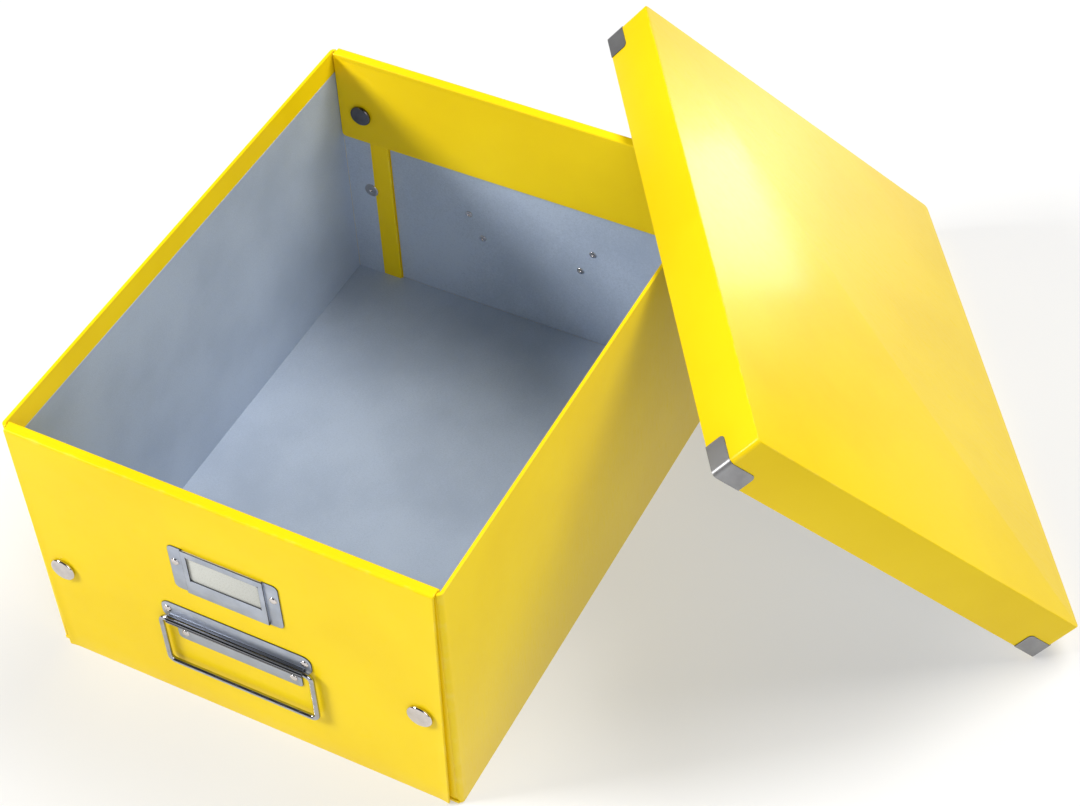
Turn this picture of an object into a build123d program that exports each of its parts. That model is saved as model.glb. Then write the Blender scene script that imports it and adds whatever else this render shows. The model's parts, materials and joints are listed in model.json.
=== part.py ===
from build123d import *
from math import cos, radians, sin
import os

# A snap-together storage box of laminated board, open, with its lid taken off and leaned against
# one corner. Millimetres. The origin is the middle of the box's underside, +Z is up, and the label
# holder is on the front, which faces -Y.

# Box
box_width = 275
box_depth = 362
box_height = 191
board = 2  # every board of the box and the lid
paper = 0.3  # lining paper
bend_radius = 3  # outside of the upright folds where a wall turns into its corner flaps
edge_round = 0.6  # wrapped edge of a board
fold_round = 1.6  # outer edge of the strip along an end's top
layer_gap = 0.6  # room that a closed snap holds between two layers of an end
side_clearance = 1  # between a folding flap and the walls
crease_gap = 0.3  # between the end strip and the flap that folds from it
corner_flap_width = 35
corner_flap_turn_in = 13  # cover paper turned in at a corner flap's free edge
wall_turn_in = 16  # cover paper turned in along a wall's upper edge
panel_set_in = 3.5  # an end panel's top is narrower than the box by this, each side
panel_foot_set_in = 7  # and its foot by this
top_flap_height = 67
flap_corner_radius = 3

# Snap fasteners
snap_spacing = 236
outer_snap_height = 79
inner_snap_height = 146
outer_cap_diameter = 16
inner_cap_diameter = 14.5
cap_height = 2.6
cap_round = 1.4
snap_shank_radius = 3
snap_socket_radius = 2.3
snap_play = 0.3  # between a stud and its socket
snap_engagement = 1.4
stud_flange_radius = 5
stud_flange_thickness = 0.8
thin_flange_thickness = 0.4
hole_clearance = 0.1  # between a fixed shank and its hole

# Handles
axis_height = 76.5  # of the bail's pivot
axis_offset = 3.1  # of the bail's pivot from the panel
plate_thickness = 0.7
plate_width = 99
plate_top = 89.3
plate_bottom = 58.5
lower_plate_width = 83
upper_plate_radius = 5.5
lower_plate_radius = 3
barrel_length = 90
barrel_radius = 2.4
barrel_neck = 4
rib_radius = 0.25
rib_count = 12
wire_radius = 1.65
wire_play = 0.28  # between the wire and the barrel
bail_width = 99.6  # between the centres of the two arms
bail_drop = 40.3
bail_bend = 4.2
bail_end_length = 15  # of wire inside each end of the barrel
upper_rivet_spacing = 90.5
upper_rivet_height = 83.3
lower_rivet_spacing = 72
lower_rivet_height = 65.2

# Rivets
rivet_head_radius = 2.5
rivet_head_height = 1.1
rivet_head_round = 1
rivet_shank_radius = 1.2
rivet_clinch_radius = 2
rivet_clinch_height = 0.6

# Label holder
label_width = 71
label_height = 37
label_bottom = 108.5
label_radius = 3.5
label_thickness = 0.6
pocket_width = 53
pocket_depth = 1
pocket_floor = 2.5  # metal below the card
window_width = 46
window_height = 19.5
window_bottom = 121
window_radius = 1
card_thickness = 0.45
card_play = 0.35  # round the card in its pocket
card_rise = 0.5  # of the card's upper edge below the holder's
label_rivet_spacing = 63
label_rivet_height = 132.5

# Lid
lid_clearance = 1  # round the closed box
lid_height = 33.5
lid_turn_in = 12  # cover paper turned in along the rim
iron_thickness = 0.4
iron_leg = 20
iron_height = 13
iron_radius = 3

# How the lid leans: its long rim stands on the floor, its inside rests on the box's corner
lean_angle = 45.5
lean_heading = 34.6  # of the way down the slope, turned from +X towards +Y
lean_offset = 59.3  # of the corner that it rests on, from the lid's middle, along the rim
lean_clearance = 0.3

# Depths inwards from an end's outer face: panel, corner flap, then the flap folded from the top
corner_front = board + layer_gap
corner_back = corner_front + board
fold_front = corner_back + layer_gap
fold_back = fold_front + board
strip_depth = fold_front - crease_gap
panel_width = box_width - 2 * panel_set_in
panel_height = box_height - board
wall_depth = box_depth - 2 * corner_front
bend_start = box_width / 2 - bend_radius
inner_width = box_width - 2 * board
corner_flap_edge = box_width / 2 - corner_flap_width
fold_axis_height = box_height - board / 2
fold_axis_depth = (fold_front + fold_back) / 2
flap_width = inner_width - 2 * side_clearance
outer_snaps = [(hand * snap_spacing / 2, outer_snap_height) for hand in (-1, 1)]
inner_snaps = [(hand * snap_spacing / 2, inner_snap_height) for hand in (-1, 1)]
stud_radius = snap_socket_radius - snap_play
handle_rivets = [
    (hand * spacing / 2, height)
    for spacing, height in (
        (upper_rivet_spacing, upper_rivet_height),
        (lower_rivet_spacing, lower_rivet_height),
    )
    for hand in (-1, 1)
]
label_rivets = [(hand * label_rivet_spacing / 2, label_rivet_height) for hand in (-1, 1)]

os.makedirs("parts", exist_ok=True)


def save(piece, node):
    piece.part.label = node
    export_step(piece.part, f"parts/{node}.step")


def end_face(side):
    """Plane on an end's outer face: x along the end, y up from the floor, z outwards."""
    return Plane(origin=(0, side * box_depth / 2, 0), x_dir=(-side, 0, 0), z_dir=(0, side, 0))


def end_section(side):
    """Plane across an end: x inwards from its outer face, y up from the floor."""
    return Plane(origin=(0, side * box_depth / 2, 0), x_dir=(0, -side, 0), z_dir=(-side, 0, 0))


# ---- Base and walls

with BuildPart() as base:
    with BuildSketch():
        Rectangle(inner_width, box_depth - 2 * board)
    extrude(amount=board)
save(base, "base_panel")

with BuildPart() as base_lining:
    with BuildSketch(Plane.XY.offset(board)):
        RectangleRounded(inner_width, box_depth - 2 * corner_back, bend_radius - board)
    extrude(amount=paper)
save(base_lining, "base_lining")

for hand, name in ((-1, "left"), (1, "right")):
    # A wall turns the corner at both ends, and the base lies between the walls
    with BuildPart() as wall:
        with BuildSketch():
            RectangleRounded(box_width, wall_depth, bend_radius)
            RectangleRounded(
                inner_width, wall_depth - 2 * board, bend_radius - board, mode=Mode.SUBTRACT
            )
            with Locations((hand * box_width / 2, 0)):
                Rectangle(2 * bend_radius, wall_depth, mode=Mode.INTERSECT)
        extrude(amount=box_height)
        fillet(wall.faces().sort_by(Axis.Z)[-1].edges(), edge_round)
        with BuildSketch():
            Rectangle(inner_width, box_depth)
        extrude(amount=board, mode=Mode.SUBTRACT)
    save(wall, f"{name}_wall")

    with BuildPart() as wall_lining:
        with BuildSketch(Plane.XY.offset(board + paper)):
            with Locations((hand * (inner_width - paper) / 2, 0)):
                Rectangle(paper, wall_depth - 2 * bend_radius)
        extrude(amount=box_height - wall_turn_in - board - paper)
    save(wall_lining, f"{name}_wall_lining")

# ---- Corner flaps, turned in from the walls and held between the layers of each end

for side, end in ((-1, "front"), (1, "back")):
    for hand, name in ((-1, "left"), (1, "right")):
        flap_x = -side * hand  # which way the flap lies on the end's own plane
        with BuildPart() as corner_flap:
            with BuildSketch(end_face(side).offset(-corner_back)):
                with Locations((flap_x * (bend_start + corner_flap_edge) / 2, board)):
                    Rectangle(
                        bend_start - corner_flap_edge,
                        panel_height - board - crease_gap,
                        align=(Align.CENTER, Align.MIN),
                    )
                with Locations(*outer_snaps, *inner_snaps):
                    Circle(stud_radius + hole_clearance, mode=Mode.SUBTRACT)
            extrude(amount=board)
        save(corner_flap, f"{end}_{name}_corner_flap")

with BuildPart() as corner_linings:
    for side in (-1, 1):
        with BuildSketch(end_face(side).offset(-corner_back - paper)):
            lining_edge = corner_flap_edge + corner_flap_turn_in
            for hand in (-1, 1):
                with Locations((hand * (bend_start + lining_edge) / 2, board + paper)):
                    Rectangle(
                        bend_start - lining_edge,
                        panel_height - board - paper - crease_gap,
                        align=(Align.CENTER, Align.MIN),
                    )
            with Locations(*outer_snaps, *inner_snaps):
                Circle(stud_radius + hole_clearance, mode=Mode.SUBTRACT)
        extrude(amount=paper)
save(corner_linings, "corner_flap_linings")

# ---- Ends: each is a panel, a strip along its top and a flap that folds down inside

for side, end in ((-1, "front"), (1, "back")):
    rivet_holes = handle_rivets + (label_rivets if end == "front" else [])

    with BuildPart() as panel:
        with BuildSketch(end_face(side).offset(-board)):
            foot = box_width / 2 - panel_foot_set_in
            head = panel_width / 2
            Polygon(
                (-foot, 0), (foot, 0), (head, panel_height), (-head, panel_height), align=None
            )
            with Locations(*outer_snaps):
                Circle(snap_shank_radius + hole_clearance, mode=Mode.SUBTRACT)
            with Locations(*rivet_holes):
                Circle(rivet_shank_radius + hole_clearance, mode=Mode.SUBTRACT)
        extrude(amount=board)
        straight = panel.edges().filter_by(GeomType.LINE)
        outer_edges = straight.group_by(Axis.Y)[0 if side < 0 else -1].sort_by(Axis.X)
        fillet([outer_edges[0], outer_edges[-1]], edge_round)
    save(panel, f"{end}_panel")

    with BuildPart() as panel_lining:
        with BuildSketch(end_face(side).offset(-board - paper)):
            with Locations((0, board)):
                Rectangle(
                    2 * corner_flap_edge - side_clearance,
                    panel_height - board - crease_gap,
                    align=(Align.CENTER, Align.MIN),
                )
            with Locations(*rivet_holes):
                Circle(rivet_shank_radius + hole_clearance, mode=Mode.SUBTRACT)
        extrude(amount=paper)
    save(panel_lining, f"{end}_panel_lining")

    with BuildPart() as strip:
        with BuildSketch(end_section(side)):
            with Locations((0, panel_height)):
                Rectangle(strip_depth, board, align=(Align.MIN, Align.MIN))
            fold_corner = vertices().sort_by(Axis.X)[:2].sort_by(Axis.Y)[-1]
            fillet(fold_corner, fold_round)
        extrude(amount=panel_width / 2, both=True)
    save(strip, f"{end}_top_strip")

    with BuildPart() as top_flap:
        with BuildSketch(end_section(side)):
            with Locations((fold_axis_depth, fold_axis_height)):
                Circle(board / 2)
                Rectangle(board, top_flap_height, align=(Align.CENTER, Align.MAX))
        extrude(amount=flap_width / 2, both=True)
        fillet(top_flap.edges().filter_by(Axis.Y).group_by(Axis.Z)[0], flap_corner_radius)
        with BuildSketch(end_face(side).offset(-fold_back)):
            with Locations(*inner_snaps):
                Circle(snap_shank_radius + hole_clearance)
        extrude(amount=board, mode=Mode.SUBTRACT)
    save(top_flap, f"{end}_top_flap")

    # Caps outside the panel, each with a hollow shank through the board
    with BuildPart() as outer_caps:
        with BuildSketch(end_face(side)):
            with Locations(*outer_snaps):
                Circle(outer_cap_diameter / 2)
        extrude(amount=cap_height)
        rim = outer_caps.edges().filter_by(GeomType.CIRCLE)
        fillet(rim.group_by(Axis.Y)[0 if side < 0 else -1], cap_round)
        with BuildSketch(end_face(side)):
            with Locations(*outer_snaps):
                Circle(snap_shank_radius)
                Circle(snap_socket_radius, mode=Mode.SUBTRACT)
        extrude(amount=-board)
    save(outer_caps, f"{end}_outer_snap_caps")

    # Caps on the folded flap, facing into the box
    with BuildPart() as inner_caps:
        with BuildSketch(end_face(side).offset(-fold_back)):
            with Locations(*inner_snaps):
                Circle(inner_cap_diameter / 2)
        extrude(amount=-cap_height)
        rim = inner_caps.edges().filter_by(GeomType.CIRCLE)
        fillet(rim.group_by(Axis.Y)[-1 if side < 0 else 0], cap_round)
        with BuildSketch(end_face(side).offset(-fold_back)):
            with Locations(*inner_snaps):
                Circle(snap_shank_radius)
                Circle(snap_socket_radius, mode=Mode.SUBTRACT)
        extrude(amount=board)
    save(inner_caps, f"{end}_inner_snap_caps")

# ---- Snap studs on the corner flaps

with BuildPart() as outer_studs:
    for side in (-1, 1):
        flange_plane = end_face(side).offset(-corner_back - paper)
        with BuildSketch(flange_plane):
            with Locations(*outer_snaps):
                Circle(stud_flange_radius)
        extrude(amount=-stud_flange_thickness)
        with BuildSketch(flange_plane):
            with Locations(*outer_snaps):
                Circle(stud_radius)
        extrude(amount=corner_back + paper - board + snap_engagement)
save(outer_studs, "outer_snap_studs")

with BuildPart() as inner_studs:
    for side in (-1, 1):
        flange_plane = end_face(side).offset(-corner_front)
        with BuildSketch(flange_plane):
            with Locations(*inner_snaps):
                Circle(stud_flange_radius)
        extrude(amount=thin_flange_thickness)
        with BuildSketch(flange_plane):
            with Locations(*inner_snaps):
                Circle(stud_radius)
        extrude(amount=corner_front - fold_front - snap_engagement)
save(inner_studs, "inner_snap_studs")

# ---- Handles: a riveted plate with a ribbed barrel, and a wire bail that turns in the barrel

for side, end in ((-1, "front"), (1, "back")):
    with BuildPart() as handle_plate:
        with BuildSketch(end_face(side)):
            with Locations((0, plate_top)):
                RectangleRounded(
                    plate_width,
                    plate_top - axis_height + barrel_radius,
                    upper_plate_radius,
                    align=(Align.CENTER, Align.MAX),
                )
            with Locations((0, plate_bottom)):
                RectangleRounded(
                    lower_plate_width,
                    axis_height - plate_bottom + barrel_radius,
                    lower_plate_radius,
                    align=(Align.CENTER, Align.MIN),
                )
            with Locations(*handle_rivets):
                Circle(rivet_shank_radius + hole_clearance, mode=Mode.SUBTRACT)
        extrude(amount=plate_thickness)
        with BuildSketch(end_section(side)):
            with Locations((-axis_offset, axis_height)):
                Circle(barrel_radius)
                with PolarLocations(barrel_radius, rib_count):
                    Circle(rib_radius)
                Rectangle(axis_offset, barrel_neck, align=(Align.MIN, Align.CENTER))
        extrude(amount=barrel_length / 2, both=True)
        with BuildSketch(end_section(side)):
            with Locations((-axis_offset, axis_height)):
                Circle(wire_radius + wire_play)
        extrude(amount=barrel_length / 2, both=True, mode=Mode.SUBTRACT)
    save(handle_plate, f"{end}_handle_plate")

    with BuildPart() as bail:
        with BuildLine(end_face(side).offset(axis_offset)) as bail_path:
            arm_x = bail_width / 2
            wire_end = barrel_length / 2 - bail_end_length
            low = axis_height - bail_drop
            FilletPolyline(
                (-wire_end, axis_height),
                (-arm_x, axis_height),
                (-arm_x, low),
                (arm_x, low),
                (arm_x, axis_height),
                (wire_end, axis_height),
                radius=bail_bend,
            )
        start = end_face(side).offset(axis_offset).from_local_coords((-wire_end, axis_height, 0))
        with BuildSketch(Plane(origin=start, z_dir=(side, 0, 0))):
            Circle(wire_radius)
        sweep(path=bail_path.line)
    save(bail, f"{end}_bail")

for rivets, plate, end_names in (
    (handle_rivets, plate_thickness, ("front", "back")),
    (label_rivets, label_thickness, ("front",)),
):
    for end in end_names:
        side = -1 if end == "front" else 1
        with BuildPart() as rivet_group:
            with BuildSketch(end_face(side).offset(plate)):
                with Locations(*rivets):
                    Circle(rivet_head_radius)
            extrude(amount=rivet_head_height)
            rim = rivet_group.edges().filter_by(GeomType.CIRCLE)
            fillet(rim.group_by(Axis.Y)[0 if side < 0 else -1], rivet_head_round)
            with BuildSketch(end_face(side).offset(-board - paper)):
                with Locations(*rivets):
                    Circle(rivet_shank_radius)
            extrude(amount=board + paper + plate)
            with BuildSketch(end_face(side).offset(-board - paper)):
                with Locations(*rivets):
                    Circle(rivet_clinch_radius)
            extrude(amount=-rivet_clinch_height)
        save(rivet_group, f"{end}_{'handle' if rivets is handle_rivets else 'label'}_rivets")

# ---- Label holder: a plate with a raised pocket, open at the top, and a card that slides in it

front = end_face(-1)
with BuildPart() as label_holder:
    with BuildSketch(front):
        with Locations((0, label_bottom)):
            RectangleRounded(
                label_width, label_height, label_radius, align=(Align.CENTER, Align.MIN)
            )
        with Locations(*label_rivets):
            Circle(rivet_shank_radius + hole_clearance, mode=Mode.SUBTRACT)
    extrude(amount=label_thickness)
    with BuildSketch(front):
        with Locations((0, label_bottom)):
            Rectangle(pocket_width, label_height, align=(Align.CENTER, Align.MIN))
    extrude(amount=pocket_depth + label_thickness)
    with BuildSketch(front):
        with Locations((0, label_bottom + pocket_floor)):
            Rectangle(
                pocket_width - 2 * label_thickness, label_height, align=(Align.CENTER, Align.MIN)
            )
    extrude(amount=pocket_depth, mode=Mode.SUBTRACT)
    with BuildSketch(front):
        with Locations((0, window_bottom)):
            RectangleRounded(
                window_width, window_height, window_radius, align=(Align.CENTER, Align.MIN)
            )
    extrude(amount=pocket_depth + label_thickness, mode=Mode.SUBTRACT)
save(label_holder, "label_holder")

with BuildPart() as label_card:
    card_width = pocket_width - 2 * label_thickness - 2 * card_play
    with BuildSketch(front.offset((pocket_depth - card_thickness) / 2)):
        with Locations((0, label_bottom + pocket_floor)):
            Rectangle(
                card_width,
                label_height - pocket_floor - card_rise,
                align=(Align.CENTER, Align.MIN),
            )
    extrude(amount=card_thickness)
save(label_card, "label_card")

# ---- Lid, on its own plane: x down the slope, y along the rim, z out of its top face

lid_width = box_width + 2 * (lid_clearance + board)
lid_depth = box_depth + 2 * (lid_clearance + board)
lean = radians(lean_angle)
heading = radians(lean_heading)
down_slope = Vector(cos(lean) * cos(heading), cos(lean) * sin(heading), -sin(lean))
along_rim = Vector(-sin(heading), cos(heading), 0)
out_of_top = down_slope.cross(along_rim)
# The corner is a fold's upper edge, at its furthest point towards the lid
corner_reach = Vector(cos(heading), sin(heading), 0) * bend_radius
corner = Vector(bend_start, wall_depth / 2 - bend_radius, box_height) + corner_reach
lid_z = (lid_width / 2 + iron_thickness) * sin(lean) + lid_height * cos(lean)
through_top = corner.dot(out_of_top) + board + paper + lean_clearance
away = (through_top - cos(lean) * lid_z) / sin(lean)
along = corner.dot(along_rim) - lean_offset
lid_middle = (
    away * cos(heading) - along * sin(heading),
    away * sin(heading) + along * cos(heading),
    lid_z,
)
lid_plane = Plane(origin=lid_middle, x_dir=down_slope, z_dir=out_of_top)
skirt_height = lid_height - board

with BuildPart() as lid_top:
    with BuildSketch(lid_plane):
        RectangleRounded(lid_width, lid_depth, bend_radius)
    extrude(amount=-board)
    fillet(lid_top.faces().sort_by(Axis(lid_middle, out_of_top))[-1].edges(), edge_round)
save(lid_top, "lid_top")

for hand, name in ((-1, "upper"), (1, "lower")):
    with BuildPart() as long_skirt:
        with BuildSketch(lid_plane.offset(-board)):
            RectangleRounded(lid_width, lid_depth, bend_radius)
            RectangleRounded(
                lid_width - 2 * board,
                lid_depth - 2 * board,
                bend_radius - board,
                mode=Mode.SUBTRACT,
            )
            with Locations((hand * lid_width / 2, 0)):
                Rectangle(2 * bend_radius, lid_depth, mode=Mode.INTERSECT)
        extrude(amount=-skirt_height)
    save(long_skirt, f"lid_{name}_skirt")

for hand, name in ((-1, "front"), (1, "back")):
    with BuildPart() as end_skirt:
        with BuildSketch(lid_plane.offset(-board)):
            with Locations((0, hand * (lid_depth - board) / 2)):
                Rectangle(lid_width - 2 * bend_radius, board)
        extrude(amount=-skirt_height)
    save(end_skirt, f"lid_{name}_skirt")

with BuildPart() as lid_lining:
    lining_height = skirt_height - lid_turn_in
    with BuildSketch(lid_plane.offset(-board)):
        RectangleRounded(lid_width - 2 * board, lid_depth - 2 * board, bend_radius - board)
    extrude(amount=-lining_height)
    with BuildSketch(lid_plane.offset(-board - paper)):
        RectangleRounded(
            lid_width - 2 * board - 2 * paper,
            lid_depth - 2 * board - 2 * paper,
            bend_radius - board - paper,
        )
    extrude(amount=paper - lining_height, mode=Mode.SUBTRACT)
save(lid_lining, "lid_lining")

with BuildPart() as corner_irons:
    with BuildSketch(lid_plane.offset(-lid_height)):
        RectangleRounded(
            lid_width + 2 * iron_thickness,
            lid_depth + 2 * iron_thickness,
            bend_radius + iron_thickness,
        )
        RectangleRounded(lid_width, lid_depth, bend_radius, mode=Mode.SUBTRACT)
        with GridLocations(lid_width, lid_depth, 2, 2):
            Rectangle(2 * iron_leg, 2 * iron_leg, mode=Mode.INTERSECT)
    extrude(amount=iron_height)
    rim_axis = Axis(lid_middle, out_of_top)
    short_edges = corner_irons.edges().filter_by(lambda e: abs(e.length - iron_thickness) < 0.01)
    fillet(short_edges.group_by(rim_axis)[-1], iron_radius)
save(corner_irons, "lid_corner_irons")
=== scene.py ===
import bpy
import bmesh
import json
from math import cos, pi, radians, sin
from mathutils import Matrix, Quaternion, Vector


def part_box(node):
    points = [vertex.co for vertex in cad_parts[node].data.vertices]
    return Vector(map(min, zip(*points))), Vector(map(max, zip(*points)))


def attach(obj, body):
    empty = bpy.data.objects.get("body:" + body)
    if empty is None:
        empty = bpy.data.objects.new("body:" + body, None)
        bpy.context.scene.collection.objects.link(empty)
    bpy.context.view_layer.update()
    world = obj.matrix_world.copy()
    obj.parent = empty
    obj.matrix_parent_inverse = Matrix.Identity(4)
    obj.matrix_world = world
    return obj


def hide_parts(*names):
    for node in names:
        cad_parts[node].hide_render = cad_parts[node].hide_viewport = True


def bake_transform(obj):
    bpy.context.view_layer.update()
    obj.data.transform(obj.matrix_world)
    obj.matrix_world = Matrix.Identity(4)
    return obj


# A snap-together storage box of laminated board, with its lid leaned against one corner.
# The frame is in metres: +Z up, the label holder's end faces -Y.

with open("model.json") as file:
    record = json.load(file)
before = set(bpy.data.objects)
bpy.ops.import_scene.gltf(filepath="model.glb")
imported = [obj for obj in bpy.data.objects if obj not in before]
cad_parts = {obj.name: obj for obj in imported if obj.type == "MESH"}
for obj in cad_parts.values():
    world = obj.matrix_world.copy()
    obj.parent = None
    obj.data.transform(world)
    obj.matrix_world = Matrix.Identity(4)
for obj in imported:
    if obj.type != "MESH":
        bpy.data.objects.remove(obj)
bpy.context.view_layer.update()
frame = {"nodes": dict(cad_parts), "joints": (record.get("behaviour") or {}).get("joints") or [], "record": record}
mm = 0.001
scene = bpy.context.scene
scene.view_settings.view_transform = "Standard"


def linearColour(code):
    # sRGB hex to the linear values that a shader takes
    parts = [int(code[i:i + 2], 16) / 255 for i in (1, 3, 5)]
    return [c / 12.92 if c <= 0.04045 else ((c + 0.055) / 1.055) ** 2.4 for c in parts] + [1]


def fillNode(tree, node, settings=None, links=None):
    for key, value in (settings or {}).items():
        if isinstance(key, int) or key in node.inputs:
            node.inputs[key].default_value = value
        else:
            setattr(node, key, value)
    for key, output in (links or {}).items():
        tree.links.new(output, node.inputs[key])
    return node


def addNode(tree, kind, settings=None, links=None):
    return fillNode(tree, tree.nodes.new(kind), settings, links)


def addNoise(tree, place, size, detail, distortion=0):
    # Noise with features of about this size in metres
    settings = {"Scale": 1 / size, "Detail": detail, "Distortion": distortion}
    return addNode(tree, "ShaderNodeTexNoise", settings, {"Vector": place}).outputs["Fac"]


def addStretch(tree, place, scale):
    return addNode(tree, "ShaderNodeMapping", {"Scale": scale}, {"Vector": place}).outputs[0]


def addBump(tree, height, strength, distance, under=None):
    links = {"Height": height, "Normal": under} if under else {"Height": height}
    settings = {"Strength": strength, "Distance": distance}
    return addNode(tree, "ShaderNodeBump", settings, links).outputs[0]


def addTint(tree, factor, colour, tint):
    # The colour, turned to the tint where the factor is high
    mix = addNode(tree, "ShaderNodeMix", {"data_type": "RGBA", 7: linearColour(tint)},
                  {0: factor, 6: colour})
    return mix.outputs[2]


def foldMark(tree):
    # The faces that finishPiece marks as folds or cut edges
    return addNode(tree, "ShaderNodeAttribute", {"attribute_name": "fold"}).outputs["Fac"]


def addRamp(tree, factor, stops):
    ramp = addNode(tree, "ShaderNodeValToRGB", links={"Fac": factor})
    while len(ramp.color_ramp.elements) < len(stops):
        ramp.color_ramp.elements.new(0.5)
    for element, (place, value) in zip(ramp.color_ramp.elements, stops):
        element.position = place
        element.color = value if isinstance(value, list) else (value, value, value, 1)
    return ramp.outputs["Color"]


def startMaterial(name):
    material = bpy.data.materials.new(name)
    material.use_nodes = True
    tree = material.node_tree
    tree.nodes.clear()
    shader = addNode(tree, "ShaderNodeBsdfPrincipled")
    addNode(tree, "ShaderNodeOutputMaterial", links={"Surface": shader.outputs[0]})
    place = addNode(tree, "ShaderNodeTexCoord").outputs["Object"]
    return material, tree, shader, place


# ---- Materials

coverLook = {
    "colour": "#F8D710", "drift": "#F3D00C", "worn": "#FBE486",
    "driftSize": 90 * mm, "peelSize": 1.6 * mm, "waveSize": 55 * mm, "scuffSize": 9 * mm,
}


def laminatedCover():
    # Film-laminated cover paper: an even strong yellow under a soft gloss, with the faint orange
    # peel of the film, slow waves of the board beneath, light scuffs and paler folded edges
    look = coverLook
    material, tree, shader, place = startMaterial("laminatedCoverPaper")
    drift = addNoise(tree, place, look["driftSize"], 3)
    colour = addRamp(tree, drift,
                     [(0.35, linearColour(look["drift"])), (0.6, linearColour(look["colour"]))])
    rubbed = addRamp(tree, addNoise(tree, place, look["scuffSize"], 6), [(0.5, 0), (0.72, 0.22)])
    wear = addNode(tree, "ShaderNodeMath", {"operation": "MULTIPLY"}, {0: foldMark(tree), 1: rubbed})
    scuff = addNoise(tree, addStretch(tree, place, (1, 7, 1)), look["scuffSize"], 8, 1.2)
    waves = addBump(tree, addNoise(tree, place, look["waveSize"], 1), 0.35, 0.5 * mm)
    peel = addNoise(tree, place, look["peelSize"], 2)
    fillNode(tree, shader, {"Specular IOR Level": 0.12, "Coat Weight": 0.1, "Coat Roughness": 0.13}, {
        "Base Color": addTint(tree, wear.outputs[0], colour, look["worn"]),
        "Roughness": addRamp(tree, scuff, [(0.42, 0.34), (0.62, 0.4), (0.72, 0.48)]),
        "Normal": addBump(tree, peel, 0.25, 0.03 * mm, waves),
    })
    return material


liningLook = {"colour": "#B3C0D3", "fibre": "#A2AFC3", "cloudSize": 70 * mm, "fibreSize": 1.1 * mm}


def liningPaper():
    # Uncoated lining paper: pale blue-grey, matt, faintly clouded, with short fibres
    look = liningLook
    material, tree, shader, place = startMaterial("blueGreyLiningPaper")
    cloud = addNoise(tree, place, look["cloudSize"], 4)
    fibre = addNoise(tree, addStretch(tree, place, (1, 3, 1)), look["fibreSize"], 5, 0.8)
    both = addNode(tree, "ShaderNodeMath", {"operation": "MULTIPLY"}, {0: cloud, 1: fibre})
    fillNode(tree, shader, {"IOR": 1.5}, {
        "Base Color": addRamp(tree, both.outputs[0], [(0.15, linearColour(look["fibre"])),
                                                      (0.33, linearColour(look["colour"]))]),
        "Roughness": addRamp(tree, fibre, [(0.3, 0.5), (0.7, 0.66)]),
        "Normal": addBump(tree, fibre, 0.3, 0.05 * mm),
    })
    return material


# The edge colour is painted shade for the narrow rims of pressed plate
steelLook = {"name": "satinNickelSteel", "colour": "#B9C0CD", "dark": "#A8AFBC",
             "edge": "#404248", "grain": 0.5 * mm, "cloudSize": 14 * mm}
ironLook = {**steelLook, "name": "dullNickelSteel", "colour": "#9B9B9D", "dark": "#8C8C8E"}


def satinSteel(look):
    # Nickel-plated pressed steel: satin grey with a fine rolling grain along the strip, and
    # painted shade on its narrow cut and turned edge faces, tinted dark as if shadowed
    material, tree, shader, place = startMaterial(look["name"])
    grain = addNoise(tree, addStretch(tree, place, (0.06, 1, 1)), look["grain"], 3)
    cloud = addNoise(tree, place, look["cloudSize"], 4)
    colour = addRamp(tree, cloud,
                     [(0.35, linearColour(look["dark"])), (0.62, linearColour(look["colour"]))])
    fillNode(tree, shader, {"Metallic": 0.78}, {
        # Painted shade: the narrow edge faces take the dark edge colour
        "Base Color": addTint(tree, foldMark(tree), colour, look["edge"]),
        "Roughness": addRamp(tree, grain, [(0.3, 0.34), (0.7, 0.46)]),
        "Normal": addBump(tree, grain, 0.12, 0.02 * mm),
    })
    return material


chromeLook = {"name": "polishedChromePlate", "colour": "#DAD4D2", "smudge": "#C8C2C0",
              "smudgeSize": 5 * mm, "scratchSize": 0.35 * mm}
wireLook = {**chromeLook, "name": "brightDrawnWire", "colour": "#B4B6BC", "smudge": "#9FA1A7"}
barrelLook = {**chromeLook, "name": "rolledNickelPlate", "colour": "#8B8D93", "smudge": "#797B81"}
darkChromeLook = {**chromeLook, "name": "darkNickelPlate", "colour": "#77757C", "smudge": "#67656C"}


def chromePlate(look):
    # Polished plate: a near mirror with faint handling smudges and hairline scratches
    material, tree, shader, place = startMaterial(look["name"])
    smudge = addNoise(tree, place, look["smudgeSize"], 4)
    scratch = addNoise(tree, addStretch(tree, place, (1, 1, 0.08)), look["scratchSize"], 2)
    fillNode(tree, shader, {"Metallic": 1}, {
        "Base Color": addRamp(tree, smudge, [(0.3, linearColour(look["colour"])),
                                             (0.8, linearColour(look["smudge"]))]),
        "Roughness": addRamp(tree, smudge, [(0.4, 0.07), (0.7, 0.17)]),
        "Normal": addBump(tree, scratch, 0.05, 0.01 * mm),
    })
    return material


cardLook = {"colour": "#C9CAC3", "fleck": "#B9B9B0", "fleckSize": 0.9 * mm}


def creamCard():
    # Uncoated index card: cream, matt, with a slight tooth and small flecks
    look = cardLook
    material, tree, shader, place = startMaterial("creamIndexCard")
    fleck = addNoise(tree, place, look["fleckSize"], 6)
    fillNode(tree, shader, links={
        "Base Color": addRamp(tree, fleck, [(0.3, linearColour(look["fleck"])),
                                            (0.5, linearColour(look["colour"]))]),
        "Roughness": addRamp(tree, fleck, [(0.3, 0.7), (0.7, 0.82)]),
        "Normal": addBump(tree, fleck, 0.3, 0.03 * mm),
    })
    return material


floorLook = {"colour": "#B9B9B9", "cloud": "#B4B4B4", "cloudSize": 0.25, "glow": 0.42, "half": 6,
             "below": 0.2 * mm}


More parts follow.
